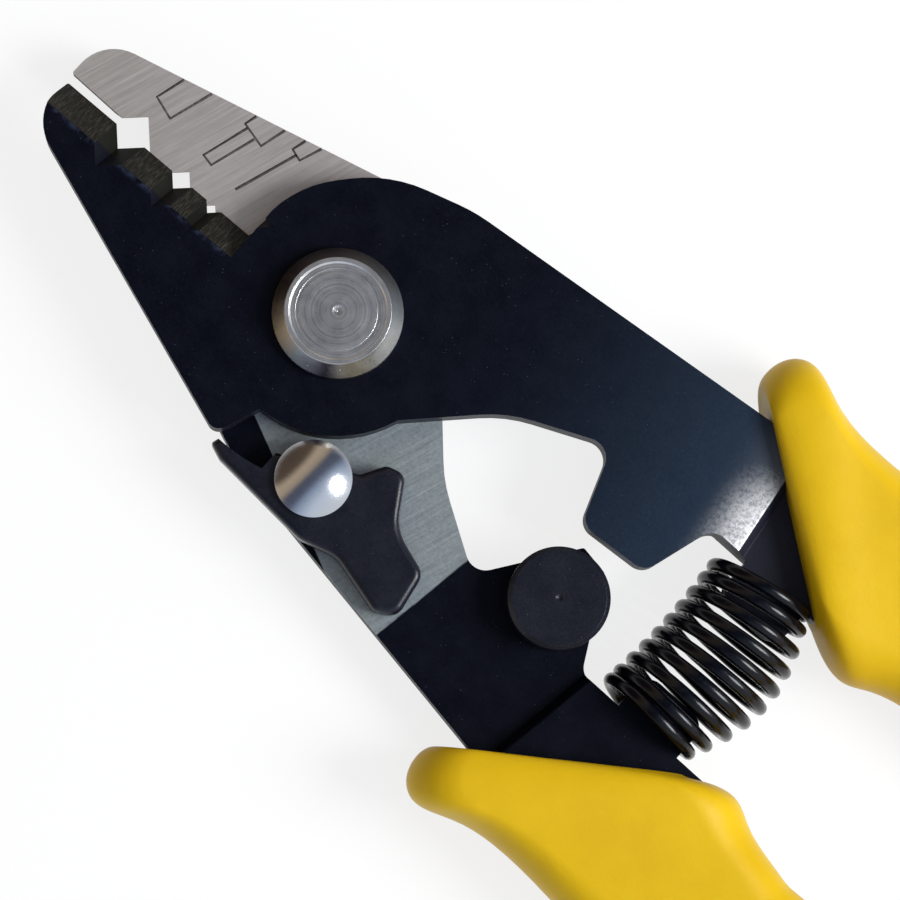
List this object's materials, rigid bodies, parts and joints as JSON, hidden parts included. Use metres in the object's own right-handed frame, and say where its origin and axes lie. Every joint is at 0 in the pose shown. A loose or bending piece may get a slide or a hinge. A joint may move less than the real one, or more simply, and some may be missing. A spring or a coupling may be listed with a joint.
{
  "type": "fibre stripper",
  "caption": "Plier-type hand tool with pivoted steel levers, notched stripping jaws, swinging lock, coil return spring, closing stop and moulded grips.",
  "frame": {"origin": "on the pivot axis, at the centre of the pivot's flat back head, in the plane that the tool rests on", "axes": "+X from the pivot towards the jaw tips, +Y towards the side of the rear lever's handle and the lock, +Z along the pivot from its back head to its ringed front head"},
  "size_m": [0.1656, 0.0594, 0.0115],
  "materials": {
    "blackened_steel": "black oxide with a satin sheen",
    "ground_steel": "ground and brushed jaw, black oxide handle",
    "turned_steel": "turned rings",
    "polished_steel": "polished dome",
    "spring_steel": "gloss black",
    "yellow_vinyl": "semi-matte moulded vinyl"
  },
  "bodies": {
    "rear_half": {"rear_lever": "ground_steel", "rear_grip": "yellow_vinyl", "pivot_rivet": "turned_steel", "pivot_washer": "turned_steel", "latch_rivet": "polished_steel", "latch_washer": "spring_steel", "stop_button": "blackened_steel", "return_spring": "spring_steel"},
    "front_half": {"front_lever": "blackened_steel", "front_grip": "yellow_vinyl"},
    "latch": {"lock_latch": "blackened_steel"}
  },
  "joints": [
    {"name": "lever_pivot", "type": "hinge", "parent": "rear_half", "child": "front_half", "pos_m": [0, 0, 0.00575], "axis": [0, 0, 1], "range_deg": [-3.3, 18.5], "stiffness_Nm_per_rad": 0.6, "deforming": ["return_spring"]},
    {"name": "latch_swing", "type": "hinge", "parent": "rear_half", "child": "latch", "pos_m": [-0.0088, 0.01315, 0.0073], "axis": [0, 0, 1], "range_deg": [0, 15]}
  ]
}
